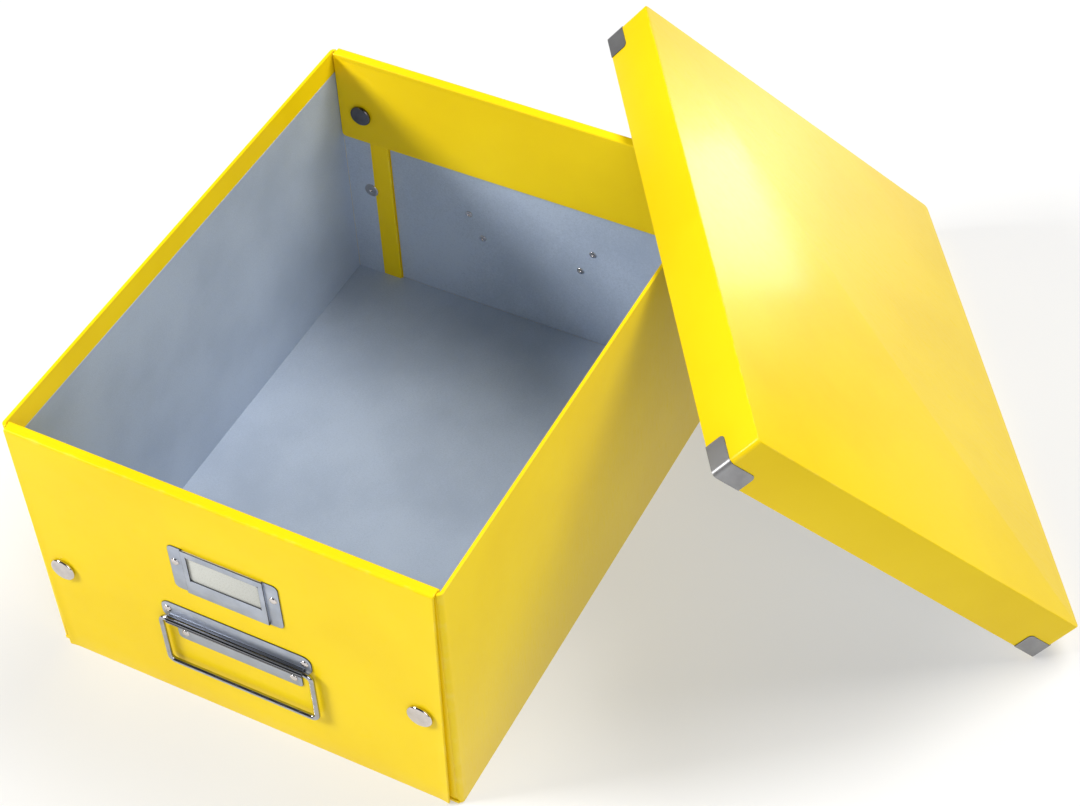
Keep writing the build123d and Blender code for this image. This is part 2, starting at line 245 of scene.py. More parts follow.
def studioFloor():
    # Pale seamless paper, lit a little from within so that it stays near white
    look = floorLook
    material, tree, shader, place = startMaterial("seamlessPaper")
    cloud = addNoise(tree, place, look["cloudSize"], 2)
    colour = addRamp(tree, cloud,
                     [(0.3, linearColour(look["cloud"])), (0.7, linearColour(look["colour"]))])
    fillNode(tree, shader, {"Roughness": 0.9, "Specular IOR Level": 0.1, "Emission Strength": look["glow"],
                            "Emission Color": linearColour("#FFFFFF")}, {"Base Color": colour})
    return material


looks = {
    "yellow_board": laminatedCover(),
    "grey_lining": liningPaper(),
    "plated_steel": satinSteel(steelLook),
    "chrome_cap": chromePlate(chromeLook),
    "label_card": creamCard(),
}
darkNickel = chromePlate(darkChromeLook)
brightWire = chromePlate(wireLook)
barrelSteel = chromePlate(barrelLook)
dullIron = satinSteel(ironLook)
print("materials made")

# ---- Mesh helpers

boardFold = 0.9 * mm  # faces of board narrower than this belong to a rounded fold
plateFold = 0.36 * mm  # and of pressed plate, to a cut edge
fullRound = 0.98  # the share of a full round at which its two ends don't meet
bodyOf = {n: body for body, nodes in frame["record"]["behaviour"]["bodies"].items() for n in nodes}
slotOf = {s["node"]: s["material_slot"] for s in frame["record"]["subparts"]}


def finishPiece(bm, name, nodes, place=Matrix.Identity(4), sharpAngle=40, body=None, look=None,
                # Place the mesh, turn its faces outwards, give it its material, and unless a body is given, hang
                # it on its CAD nodes' body and hide those nodes
                folds=0):
    # Place the mesh, close it, and hand the piece to the frame in the stead of its CAD nodes
    bmesh.ops.transform(bm, matrix=place, verts=bm.verts)
    bmesh.ops.recalc_face_normals(bm, faces=bm.faces)
    mesh = bpy.data.meshes.new(name)
    bm.to_mesh(mesh)
    bm.free()
    mesh.shade_smooth()
    mesh.set_sharp_from_angle(angle=radians(sharpAngle))
    piece = bpy.data.objects.new(name, mesh)
    scene.collection.objects.link(piece)
    fold = mesh.attributes.new("fold", "FLOAT", "FACE")
    for face in mesh.polygons:
        points = [mesh.vertices[i].co for i in face.vertices]
        longest = max((a - b).length for a, b in zip(points, points[1:] + points[:1]))
        fold.data[face.index].value = float(face.area < folds * longest)
    slotName = slotOf[nodes[0]]
    mesh.materials.append(look or looks[slotName])
    if body is None:
        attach(piece, bodyOf[nodes[0]])
        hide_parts(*nodes)
    return piece


def sharpEdges(bm, angle=40):
    return [e for e in bm.edges if e.is_manifold and abs(e.calc_face_angle(0)) > radians(angle)]


def roundEdges(bm, edges, size, steps=3):
    bmesh.ops.bevel(bm, geom=edges, offset=size, offset_type="OFFSET", segments=steps,
                    profile=0.5, affect="EDGES", material=-1, clamp_overlap=True)


def prism(bm, outline, depth, rounds=(), steps=6):
    # A solid from an outline in XY, raised along +Z; rounds gives (corner number, radius)
    corners = [bm.verts.new((x, y, 0)) for x, y in outline]
    bm.faces.new(corners)
    for number, radius in rounds:
        bmesh.ops.bevel(bm, geom=[corners[number]], offset=radius, offset_type="OFFSET",
                        segments=steps, profile=0.5, affect="VERTICES", material=-1,
                        clamp_overlap=True)
    face = [f for f in bm.faces if all(abs(v.co.z) < 1e-9 for v in f.verts)][-1]
    raised = bmesh.ops.extrude_face_region(bm, geom=[face])["geom"]
    verts = [v for v in raised if isinstance(v, bmesh.types.BMVert)]
    bmesh.ops.translate(bm, vec=(0, 0, depth), verts=verts)


def slab(low, high, size, steps=3):
    bm = bmesh.new()
    bmesh.ops.create_cube(bm, size=1)
    bmesh.ops.scale(bm, vec=high - low, verts=bm.verts)
    bmesh.ops.translate(bm, vec=(low + high) / 2, verts=bm.verts)
    roundEdges(bm, list(bm.edges), size, steps)
    return bm


def join(bm, other):
    spare = bpy.data.meshes.new("spare")
    other.to_mesh(spare)
    other.free()
    bm.from_mesh(spare)
    bpy.data.meshes.remove(spare)


def solidBoxes(node, turn=Matrix.Identity(4)):
    # The box of each separate solid in a CAD node, in the frame that turn leads to
    bm = bmesh.new()
    bm.from_mesh(frame["nodes"][node].data)
    bmesh.ops.remove_doubles(bm, verts=bm.verts, dist=0.001 * mm)
    bm.verts.index_update()
    left = set(range(len(bm.verts)))
    bm.verts.ensure_lookup_table()
    boxes = []
    while left:
        grown = [left.pop()]
        points = []
        while grown:
            vert = bm.verts[grown.pop()]
            points.append(turn @ vert.co)
            for edge in vert.link_edges:
                other = edge.other_vert(vert).index
                if other in left:
                    left.remove(other)
                    grown.append(other)
        low = Vector([min(p[i] for p in points) for i in range(3)])
        high = Vector([max(p[i] for p in points) for i in range(3)])
        boxes.append((low, high))
    bm.free()
    return sorted(boxes, key=lambda box: tuple(round(c, 5) for c in box[0]))


def turned(bm, profile, steps=40):
    # A closed body of revolution about Z from an outline of (radius, height)
    verts = [bm.verts.new((r, 0, z)) for r, z in profile]
    edges = [bm.edges.new(pair) for pair in zip(verts, verts[1:])]
    bmesh.ops.spin(bm, geom=verts + edges, cent=(0, 0, 0), axis=(0, 0, 1), angle=2 * pi,
                   steps=steps, use_merge=True, use_duplicate=False)
    bmesh.ops.remove_doubles(bm, verts=bm.verts, dist=0.001 * mm)


def endPlace(side, depth=0, across=0, height=0):
    # Local x along the end, y up, z outwards from the end's outer face
    origin = Vector((0, side * boxDepth / 2, 0))
    turn = Matrix(((-side, 0, 0), (0, 0, side), (0, 1, 0))).to_4x4()
    return Matrix.Translation(origin) @ turn @ Matrix.Translation((across, height, -depth))


def sectionPlace(side):
    # Local x inwards from the end's outer face, y up, z along the end
    origin = Vector((0, side * boxDepth / 2, 0))
    turn = Matrix(((0, 0, -side), (-side, 0, 0), (0, 1, 0))).to_4x4()
    return Matrix.Translation(origin) @ turn


boxDepth = -2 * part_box("front_panel")[0].y
boxWidth = -2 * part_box("left_wall")[0].x
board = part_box("base_panel")[1].z
ends = (("front", -1), ("back", 1))

# ---- Walls

wallLook = {"bend": 3 * mm, "topRound": 0.75 * mm}


def wallPiece(name, hand):
    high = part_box(f"{name}_wall")[1]
    outer = boxWidth / 2
    start = outer - wallLook["bend"]
    inner = outer - board
    y = high.y
    outline = [(start, -y), (outer, -y), (outer, y), (start, y),
               (start, y - board), (inner, y - board), (inner, board - y), (start, board - y)]
    innerBend = (wallLook["bend"] - board) * fullRound
    bm = bmesh.new()
    prism(bm, outline, high.z,
          [(1, wallLook["bend"]), (2, wallLook["bend"]), (5, innerBend), (6, innerBend)])
    top = [e for e in sharpEdges(bm) if all(v.co.z > high.z - mm for v in e.verts)]
    roundEdges(bm, top, wallLook["topRound"])
    foot = [e for e in sharpEdges(bm) if all(v.co.z < mm and v.co.x > inner for v in e.verts)]
    roundEdges(bm, foot, wallLook["topRound"])
    bmesh.ops.dissolve_degenerate(bm, dist=0.005 * mm, edges=bm.edges)
    finishPiece(bm, f"{name}_wall_board", [f"{name}_wall"], Matrix.Scale(hand, 4, (1, 0, 0)),
                folds=boardFold)


wallPiece("left", -1)
wallPiece("right", 1)
print("walls made")

# ---- Ends: panel with its top strip, folded flap, and the paper hinge between them

endLook = {
    "foldRound": 1.5 * mm, "edgeRound": 0.55 * mm, "flapCorner": 3 * mm,
    "hingePaper": 0.1 * mm, "hingeProud": 0.05 * mm, "hingeTail": 2.6 * mm,
    "flapLining": 0.08 * mm, "flapTurnIn": 12 * mm,
    "footSetIn": 3.5 * mm, "curl": 0.8 * mm, "curlFrom": 127 * mm, "curlWidth": 7 * mm,
    "rowStep": 15 * mm, "curlStep": 2 * mm,
}


def panelPiece(end, side):
    low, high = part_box(f"{end}_panel")
    stripLow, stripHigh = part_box(f"{end}_top_strip")
    stripDepth = stripHigh.y - stripLow.y
    top = stripHigh.z
    outline = [(0, 0), (0, top), (stripDepth, top), (stripDepth, top - board),
               (board, top - board), (board, 0)]
    bm = bmesh.new()
    width = high.x - low.x
    prism(bm, outline, width, [(1, endLook["foldRound"])])
    bmesh.ops.translate(bm, vec=(0, 0, -width / 2), verts=bm.verts)
    roundEdges(bm, sharpEdges(bm), endLook["edgeRound"])
    cuts = [((0, i * endLook["rowStep"], 0), (0, 1, 0)) for i in range(1, 12)]
    cuts += [((0, 0, hand * (endLook["curlFrom"] + i * endLook["curlStep"])), (0, 0, 1))
             for hand in (-1, 1) for i in range(4)]
    for point, normal in cuts:
        bmesh.ops.bisect_plane(bm, geom=list(bm.verts) + list(bm.edges) + list(bm.faces),
                               plane_co=point, plane_no=normal, dist=0.001 * mm)
    for vert in bm.verts:
        height = min(1, vert.co.y / high.z)
        reach = max(0, min(1, (abs(vert.co.z) - endLook["curlFrom"]) / endLook["curlWidth"]))
        droop = sin(pi * min(1, max(0, 1 - height) * 1.1) / 2)
        vert.co.x -= endLook["curl"] * reach ** 1.5 * droop
        vert.co.z *= 1 - (1 - height) * endLook["footSetIn"] / high.x
    finishPiece(bm, f"{end}_panel_board", [f"{end}_panel", f"{end}_top_strip"], sectionPlace(side),
                folds=boardFold)


def flapPiece(end, side):
    low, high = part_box(f"{end}_top_flap")
    near = boxDepth / 2 - max(abs(low.y), abs(high.y))
    far = boxDepth / 2 - min(abs(low.y), abs(high.y))
    width = high.x - low.x
    outline = [(near, low.z), (near, high.z), (far, high.z), (far, low.z)]
    bm = bmesh.new()
    cap = (far - near) / 2 * fullRound
    prism(bm, outline, width, [(1, cap), (2, cap)])
    bmesh.ops.translate(bm, vec=(0, 0, -width / 2), verts=bm.verts)
    corners = [e for e in sharpEdges(bm)
               if all(v.co.y < low.z + mm and abs(v.co.z) > width / 2 - mm for v in e.verts)
               and abs((e.verts[0].co - e.verts[1].co).normalized().x) > 0.9]
    roundEdges(bm, corners, endLook["flapCorner"], 6)
    roundEdges(bm, sharpEdges(bm), endLook["edgeRound"])
    finishPiece(bm, f"{end}_flap_board", [f"{end}_top_flap"], sectionPlace(side), folds=boardFold)
    return near, far, low, high


def flapLiningPiece(end, side, near, low, high):
    # Lining on the flap's hidden face, inside the turned-in cover
    edge = endLook["flapTurnIn"]
    bm = slab(Vector((near - endLook["flapLining"], low.z + edge, -high.x + edge)),
              Vector((near + endLook["flapLining"], high.z - edge / 2, high.x - edge)),
              endLook["flapLining"] / 2, 1)
    piece = finishPiece(bm, f"{end}_flap_lining", ["corner_flap_linings"], sectionPlace(side),
                        body="later")
    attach(piece, bodyOf[f"{end}_top_flap"])


def hingePaperPiece(end, side, near, far, high):
    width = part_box(f"{end}_top_strip")[1].x
    proud = endLook["hingeProud"]
    paper = endLook["hingePaper"]
    start = near - board - proud
    axisHeight = high.z - (far - near) / 2
    outline = [(start, high.z + proud), (far + proud, high.z + proud),
               (far + proud, axisHeight - endLook["hingeTail"]),
               (far + proud - paper, axisHeight - endLook["hingeTail"]),
               (far + proud - paper, high.z + proud - paper), (start, high.z + proud - paper)]
    radius = (far - near) / 2
    bm = bmesh.new()
    prism(bm, outline, 2 * width, [(1, radius + proud), (4, radius + proud - paper)], 10)
    bmesh.ops.translate(bm, vec=(0, 0, -width), verts=bm.verts)
    piece = finishPiece(bm, f"{end}_hinge_paper", [f"{end}_top_strip"], sectionPlace(side),
                        body="later")
    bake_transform(piece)


for end, side in ends:
    panelPiece(end, side)
    near, far, flapLow, flapHigh = flapPiece(end, side)
    flapLiningPiece(end, side, near, flapLow, flapHigh)
    hingePaperPiece(end, side, near, far, flapHigh)
print("ends made")

# ---- Corner flaps and lining papers

paperLook = {"boardRound": 0.6 * mm, "paperRound": 0.12 * mm, "thick": 0.3 * mm,
             "floorReach": 0.8 * mm, "floorSink": 0.02 * mm}
# How far each paper runs on, past its own box, into the corners round it: low and high
runOn = {
    "base_lining": ((0, -1.4, 0), (0, 1.4, 0)),
    "left_wall_lining": ((0, -0.75, 0), (0, 0.75, 0)),
    "right_wall_lining": ((0, -0.75, 0), (0, 0.75, 0)),
}

for end, side in ends:
    for name in ("left", "right"):
        node = f"{end}_{name}_corner_flap"
        low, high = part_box(node)
        finishPiece(slab(low, high, paperLook["boardRound"]), f"{node}_board", [node],
                    folds=boardFold)

for node in ("base_lining", "left_wall_lining", "right_wall_lining", "front_panel_lining",
             "back_panel_lining", "corner_flap_linings"):
    bm = bmesh.new()
    grow = [Vector(g) * mm for g in runOn.get(node, ((0, 0, 0), (0, 0, 0)))]
    for low, high in solidBoxes(node):
        low, high = low + grow[0], high + grow[1]
        if node == "corner_flap_linings":
            # Out to the wall's lining
            reach = boxWidth / 2 - board - paperLook["thick"]
            low.x = -reach if low.x < 0 else low.x
            high.x = reach if high.x > 0 else high.x
        join(bm, slab(low, high, paperLook["paperRound"], 1))
        if node == "base_lining":
            # Between the corner flaps it runs up to the end panels' linings
            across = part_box("front_panel_lining")[1].x
            reach = paperLook["floorReach"]
            start = Vector((-across, low.y - reach, low.z))
            stop = Vector((across, high.y + reach, high.z - paperLook["floorSink"]))
            join(bm, slab(start, stop, paperLook["paperRound"], 1))
    finishPiece(bm, f"{node}_paper", [node])
print("corner flaps and linings made")

# ---- Snap fasteners

snapLook = {"crown": 0.25 * mm, "rim": 1.1 * mm, "lip": 0.35 * mm, "back": 0.02 * mm}


def capOutline(radius, height):
    # A low crowned cap whose rim rolls under, closed at the back
    rim = snapLook["rim"]
    crown = [(radius * 0.84 * i / 5, height - snapLook["crown"] * (i / 5) ** 2) for i in range(6)]
    shoulder = height - snapLook["crown"]
    turn = [(radius * 0.84 + (radius * 0.16) * sin(a), shoulder - rim * (1 - cos(a)))
            for a in [pi / 2 * i / 6 for i in range(1, 7)]]
    under = [(radius - 0.05 * mm, 0.75 * mm), (radius - snapLook["lip"], 0.25 * mm),
             (radius - 2 * snapLook["lip"], snapLook["back"]), (0, snapLook["back"])]
    return crown + turn + under


def snapCapsPiece(end, side, level):
    inward = level == "inner"
    node = f"{end}_{level}_snap_caps"
    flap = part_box(f"{end}_top_flap")
    faceY = min(abs(flap[0].y), abs(flap[1].y)) if inward else boxDepth / 2
    bm = bmesh.new()
    for low, high in solidBoxes(node):
        middle = (low + high) / 2
        radius = (high.x - low.x) / 2
        height = abs(max(abs(low.y), abs(high.y)) - faceY)
        if inward:
            height = faceY - min(abs(low.y), abs(high.y))
        one = bmesh.new()
        turned(one, capOutline(radius, height))
        outwards = Vector((0, -side if inward else side, 0))
        turn = outwards.to_track_quat("Z", "Y").to_matrix().to_4x4()
        spot = Vector((middle.x, side * faceY, middle.z))
        bmesh.ops.transform(one, matrix=Matrix.Translation(spot) @ turn, verts=one.verts)
        join(bm, one)
    finishPiece(bm, f"{end}_{level}_caps", [node], sharpAngle=50,
                look=darkNickel if inward else None)


for end, side in ends:
    for level in ("outer", "inner"):
        snapCapsPiece(end, side, level)


studLook = {"hole": 1.1 * mm, "round": 0.3 * mm, "height": 0.8 * mm, "coreRadius": 2 * mm,
            "coreDepth": 1.5 * mm, "coreTop": 0.15 * mm}


def ringOutline(radius, hole, height, roll):
    # An eyelet's flange: a flat ring with rolled edges
    near = 0.3 * roll
    return [(hole, 0), (radius, 0), (radius, height - roll), (radius - near, height - near),
            (radius - roll, height), (hole + roll, height), (hole + near, height - near),
            (hole, height - roll), (hole, 0)]


def outerStudsPiece():
    look = studLook
    bm = bmesh.new()
    for low, high in solidBoxes("outer_snap_studs"):
        middle = (low + high) / 2
        side = 1 if middle.y > 0 else -1
        faceY = min(abs(low.y), abs(high.y))
        radius = (high.x - low.x) / 2
        one = bmesh.new()
        turned(one, ringOutline(radius, look["hole"], look["height"], look["round"]))
        turned(one, [(0, -look["coreDepth"]), (look["coreRadius"], -look["coreDepth"]),
                     (look["coreRadius"], look["coreTop"]), (0, look["coreTop"])])
        turn = Vector((0, -side, 0)).to_track_quat("Z", "Y").to_matrix().to_4x4()
        spot = Vector((middle.x, side * (faceY + look["height"]), middle.z))
        bmesh.ops.transform(one, matrix=Matrix.Translation(spot) @ turn, verts=one.verts)
        join(bm, one)
    finishPiece(bm, "outer_studs", ["outer_snap_studs"], sharpAngle=50)


outerStudsPiece()
print("snap fasteners made")

# ---- Handles

handleLook = {
    "thick": 0.7 * mm, "edge": 0.22 * mm, "upperCorner": 5.5 * mm, "lowerCorner": 3 * mm,
    "barrel": 2.35 * mm, "barrelLength": 90 * mm, "rib": 0.3 * mm, "ribs": 12, "bore": 1.93 * mm,
    "neck": 4 * mm, "lowerWidth": 83 * mm, "wire": 1.65 * mm, "wireSides": 20, "bend": 4.2 * mm,
    "endInside": 15 * mm,
}


def roundedPlate(bm, low, high, corner, thick, edge):
    # A flat plate in local x and y with rounded corners, standing on z = 0
    one = bmesh.new()
    prism(one, [(low[0], low[1]), (high[0], low[1]), (high[0], high[1]), (low[0], high[1])],
          thick, [(i, corner) for i in range(4)])
    roundEdges(one, sharpEdges(one), edge, 2)
    join(bm, one)


def ribbedBarrel(bm, centre, length):
    # A tube along local x with lengthwise ribs, and the neck that joins it to the plate
    look = handleLook
    sides = look["ribs"] * 8
    for radius, rib in ((look["barrel"], look["rib"]), (look["bore"], 0)):
        made = bmesh.ops.create_circle(bm, segments=sides, radius=1)["verts"]
        for i, vert in enumerate(made):
            angle = 2 * pi * i / sides
            reach = radius + rib * max(0, cos(look["ribs"] * angle)) ** 0.7
            vert.co = (-length / 2, centre[1] + reach * cos(angle), centre[0] + reach * sin(angle))
        loop = list({e for v in made for e in v.link_edges})
        far = bmesh.ops.extrude_edge_only(bm, edges=loop)["geom"]
        farVerts = [v for v in far if isinstance(v, bmesh.types.BMVert)]
        bmesh.ops.translate(bm, vec=(length, 0, 0), verts=farVerts)
        if not rib:
            # The bore is turned to face inwards, so that the ends bridge without crossing
            bore = list({f for v in made + farVerts for f in v.link_faces})
            bmesh.ops.reverse_faces(bm, faces=bore)
    for x in (-length / 2, length / 2):
        rim = [e for e in bm.edges if e.is_boundary and all(abs(v.co.x - x) < 1e-6 for v in e.verts)]
        bmesh.ops.bridge_loops(bm, edges=rim)


def handlePlatePiece(end, side):
    look = handleLook
    low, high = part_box(f"{end}_handle_plate")
    axis = next(j for j in frame["joints"] if j["name"] == f"{end}_bail_swing")["pos_m"]
    height = axis[2]
    offset = abs(axis[1]) - boxDepth / 2
    bm = bmesh.new()
    ribbedBarrel(bm, (offset, height), look["barrelLength"])
    barrel = finishPiece(bm, f"{end}_handle_barrel", [f"{end}_handle_plate"], endPlace(side),
                         sharpAngle=55, body="later", look=barrelSteel)
    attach(barrel, "box")
    bm = bmesh.new()
    neck = slab(Vector((-look["barrelLength"] / 2, height - look["neck"] / 2, 0.1 * mm)),
                Vector((look["barrelLength"] / 2, height + look["neck"] / 2, offset - look["bore"])),
                0.3 * mm)
    join(bm, neck)
    roundedPlate(bm, (low.x, height - look["barrel"]), (high.x, high.z), look["upperCorner"],
                 look["thick"], look["edge"])
    half = look["lowerWidth"] / 2
    roundedPlate(bm, (-half, low.z), (half, height + look["barrel"]), look["lowerCorner"],
                 look["thick"], look["edge"])
    finishPiece(bm, f"{end}_handle", [f"{end}_handle_plate"], endPlace(side), sharpAngle=55,
                folds=plateFold)


def wireRun(bm, loop, move):
    grown = bmesh.ops.extrude_edge_only(bm, edges=loop)["geom"]
    bmesh.ops.translate(bm, vec=move, verts=[v for v in grown if isinstance(v, bmesh.types.BMVert)])
    return [e for e in grown if isinstance(e, bmesh.types.BMEdge)]


def wireBend(bm, loop, centre, angle):
    swept = bmesh.ops.spin(bm, geom=loop, cent=centre, axis=(0, 0, 1), angle=angle, steps=8,
                           use_duplicate=False)
    return [e for e in swept["geom_last"] if isinstance(e, bmesh.types.BMEdge)]


def bailPiece(end, side):
    look = handleLook
    low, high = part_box(f"{end}_bail")
    wire = look["wire"]
    top = high.z - wire
    bottom = low.z + wire
    arm = high.x - wire
    bend = look["bend"]
    inside = look["barrelLength"] / 2 - look["endInside"]
    bm = bmesh.new()
    ring = bmesh.ops.create_circle(bm, segments=look["wireSides"], radius=wire, cap_ends=False)
    turn = Matrix.Translation((-inside, top, 0)) @ Matrix.Rotation(pi / 2, 4, "Y")
    bmesh.ops.transform(bm, matrix=turn, verts=ring["verts"])
    loop = list(bm.edges)
    loop = wireRun(bm, loop, (inside + bend - arm, 0, 0))
    loop = wireBend(bm, loop, (bend - arm, top - bend, 0), pi / 2)
    loop = wireRun(bm, loop, (0, bottom - top + 2 * bend, 0))
    loop = wireBend(bm, loop, (bend - arm, bottom + bend, 0), pi / 2)
    loop = wireRun(bm, loop, (2 * arm - 2 * bend, 0, 0))
    loop = wireBend(bm, loop, (arm - bend, bottom + bend, 0), pi / 2)
    loop = wireRun(bm, loop, (0, top - bottom - 2 * bend, 0))
    loop = wireBend(bm, loop, (arm - bend, top - bend, 0), pi / 2)
    wireRun(bm, loop, (inside + bend - arm, 0, 0))
    bmesh.ops.holes_fill(bm, edges=[e for e in bm.edges if e.is_boundary])
    middle = (low.y + high.y) / 2
    depth = boxDepth / 2 - abs(middle)
    finishPiece(bm, f"{end}_wire_bail", [f"{end}_bail"], endPlace(side, depth), sharpAngle=50,
                look=brightWire)


rivetLook = {"head": 2.5 * mm, "headHeight": 1.1 * mm, "tube": 2.4 * mm, "tubeHole": 0.9 * mm,
             "tubeHeight": 0.6 * mm}


def domeOutline(radius, height):
    # A low domed rivet head with a thin rim
    rim = 0.25 * height
    dome = [(radius * sin(a), rim + (height - rim) * cos(a)) for a in [pi / 2 * i / 7 for i in range(8)]]
    return dome + [(radius, 0), (0, 0)]


def rivetPiece(node, side, plate):
    look = rivetLook
    bm = bmesh.new()
    for low, high in solidBoxes(node):
        middle = (low + high) / 2
        head = bmesh.new()
        turned(head, domeOutline(look["head"], look["headHeight"]), 28)
        tail = bmesh.new()
        turned(tail, ringOutline(look["tube"], look["tubeHole"], look["tubeHeight"], 0.25 * mm), 24)
        turned(tail, [(0, -mm), (look["tubeHole"] + 0.1 * mm, -mm),
                      (look["tubeHole"] + 0.1 * mm, 0.1 * mm), (0, 0.1 * mm)], 24)
        inner = boxDepth / 2 - min(abs(low.y), abs(high.y)) - look["tubeHeight"]
        for part, depth, flip in ((head, -plate, 0), (tail, inner, pi)):
            local = endPlace(side) @ Matrix.Translation((-side * middle.x, middle.z, -depth))
            bmesh.ops.transform(part, matrix=local @ Matrix.Rotation(flip, 4, "Y"), verts=part.verts)
            join(bm, part)
    finishPiece(bm, f"{node}_turned", [node], sharpAngle=50, look=looks["chrome_cap"])


for end, side in ends:
    handlePlatePiece(end, side)
    bailPiece(end, side)
    rivetPiece(f"{end}_handle_rivets", side, handleLook["thick"])
print("handles made")

# ---- Label holder and card

labelLook = {"thick": 0.6 * mm, "corner": 3.5 * mm, "pocket": 53 * mm, "raise": 1.0 * mm,
             "window": 46 * mm, "windowHeight": 19.5 * mm, "windowBottom": 12.5 * mm,
             "windowCorner": 1 * mm, "edge": 0.2 * mm, "floor": 2.5 * mm}


def labelHolderPiece():
    look = labelLook
    low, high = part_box("label_holder")
    half = look["pocket"] / 2
    bm = bmesh.new()
    for hand in (-1, 1):
        one = bmesh.new()
        outline = [(half - mm, low.z), (high.x, low.z), (high.x, high.z), (half - mm, high.z)]
        prism(one, outline, look["thick"], [(1, look["corner"]), (2, look["corner"])])
        roundEdges(one, sharpEdges(one), look["edge"], 2)
        bmesh.ops.scale(one, vec=(hand, 1, 1), verts=one.verts)
        bmesh.ops.recalc_face_normals(one, faces=one.faces)
        join(bm, one)
    # Raised front of the pocket, with the window cut through
    front = bmesh.new()
    top = look["raise"] + look["thick"]
    bmesh.ops.create_grid(front, x_segments=1, y_segments=1, size=0.5)
    bmesh.ops.scale(front, vec=(look["pocket"], high.z - low.z, 1), verts=front.verts)
    bmesh.ops.translate(front, vec=(0, (low.z + high.z) / 2, look["raise"]), verts=front.verts)
    windowLow = low.z + look["windowBottom"]
    windowHigh = windowLow + look["windowHeight"]
    face = list(front.faces)[0]
    bmesh.ops.inset_region(front, faces=[face], thickness=4 * mm, use_even_offset=True,
                           use_boundary=True)
    hole = min(front.faces, key=lambda f: f.calc_area() if all(
        abs(v.co.x) < half - mm for v in f.verts) else 1)
    for vert in hole.verts:
        vert.co.x = (1 if vert.co.x > 0 else -1) * look["window"] / 2
        vert.co.y = windowHigh if vert.co.y > (low.z + high.z) / 2 else windowLow
    bmesh.ops.delete(front, geom=[hole], context="FACES_ONLY")
    grown = bmesh.ops.extrude_face_region(front, geom=list(front.faces))["geom"]
    moved = [v for v in grown if isinstance(v, bmesh.types.BMVert)]
    bmesh.ops.translate(front, vec=(0, 0, look["thick"]), verts=moved)
    upright = [e for e in front.edges if abs(e.verts[0].co.z - e.verts[1].co.z) > 0.3 * mm
               and abs(e.verts[0].co.x) < look["window"] / 2 + 0.1 * mm
               and windowLow - 0.1 * mm < e.verts[0].co.y < windowHigh + 0.1 * mm]
    roundEdges(front, upright, look["windowCorner"], 5)
    bmesh.ops.recalc_face_normals(front, faces=front.faces)
    roundEdges(front, sharpEdges(front), look["edge"], 2)
    join(bm, front)
    for hand in (-1, 1):
        cheek = slab(Vector((min(hand * half, hand * (half - look["thick"])), low.z, 0)),
                     Vector((max(hand * half, hand * (half - look["thick"])), high.z, top - 0.05 * mm)),
                     look["edge"])
        join(bm, cheek)
    join(bm, slab(Vector((-half, low.z, 0)), Vector((half, low.z + look["floor"], top - 0.05 * mm)),
                  look["edge"]))
    finishPiece(bm, "label_holder_plate", ["label_holder"], endPlace(-1), sharpAngle=50,
                folds=plateFold)


labelHolderPiece()
rivetPiece("front_label_rivets", -1, labelLook["thick"])
cardLow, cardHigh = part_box("label_card")
finishPiece(slab(cardLow, cardHigh, 0.1 * mm, 2), "index_card", ["label_card"])
print("label holder made")

# ---- Lid


def mainNormal(node):
    areas = {}
    for face in frame["nodes"][node].data.polygons:
        key = tuple(round(abs(c), 2) for c in face.normal)
        areas.setdefault(key, [0, face.normal.copy()])
        areas[key][0] += face.area
    return max(areas.values(), key=lambda entry: entry[0])[1].normalized()


lidOut = mainNormal("lid_top")
lidOut = lidOut if lidOut.z > 0 else -lidOut
lidAlong = mainNormal("lid_back_skirt")
lidAlong = lidAlong if lidAlong.y > 0 else -lidAlong
lidDown = lidAlong.cross(lidOut).normalized()
lidTurn = Matrix((lidDown, lidAlong, lidOut)).transposed().to_4x4()


def lidBox(node):
    boxes = solidBoxes(node, lidTurn.inverted())
    low = Vector([min(b[0][i] for b in boxes) for i in range(3)])
    high = Vector([max(b[1][i] for b in boxes) for i in range(3)])
    return low, high


lidLook = {"corner": 3 * mm, "topRound": 0.6 * mm, "rimRound": 0.5 * mm, "ironThick": 0.4 * mm,
           "ironLeg": 20 * mm, "ironCorner": 3 * mm, "ironEdge": 0.1 * mm,
           "ironSkin": 0.03 * mm, "liningCorner": 1 * mm}


def tray(low, high, wall, corner, topRound, rimRound):
    # An upside-down tray, open towards -Z, with rounded upright corners
    bm = bmesh.new()
    for inset in (0, wall):
        one = bmesh.new()
        bmesh.ops.create_cube(one, size=1)
        bmesh.ops.scale(one, vec=high - low - Vector((2 * inset, 2 * inset, inset)), verts=one.verts)
        middle = (low + high) / 2 - Vector((0, 0, inset / 2))
        bmesh.ops.translate(one, vec=middle, verts=one.verts)
        upright = [e for e in one.edges if abs(e.verts[0].co.z - e.verts[1].co.z) > mm]
        roundEdges(one, upright, max(corner - inset, 0.2 * mm), 6)
        under = min(one.faces, key=lambda f: f.calc_center_median().z)
        bmesh.ops.delete(one, geom=[under], context="FACES_ONLY")
        if inset:
            # Turned to face the hollow, so that the rims bridge without crossing
            bmesh.ops.reverse_faces(one, faces=one.faces)
        join(bm, one)
    bmesh.ops.bridge_loops(bm, edges=[e for e in bm.edges if e.is_boundary])
    bmesh.ops.recalc_face_normals(bm, faces=bm.faces)
    if topRound:
        top = [e for e in sharpEdges(bm) if all(v.co.z > high.z - 0.01 * mm for v in e.verts)]
        roundEdges(bm, top, topRound)
    if rimRound:
        foot = [e for e in sharpEdges(bm) if all(v.co.z < low.z + 0.01 * mm for v in e.verts)]
        roundEdges(bm, foot, rimRound)
    return bm


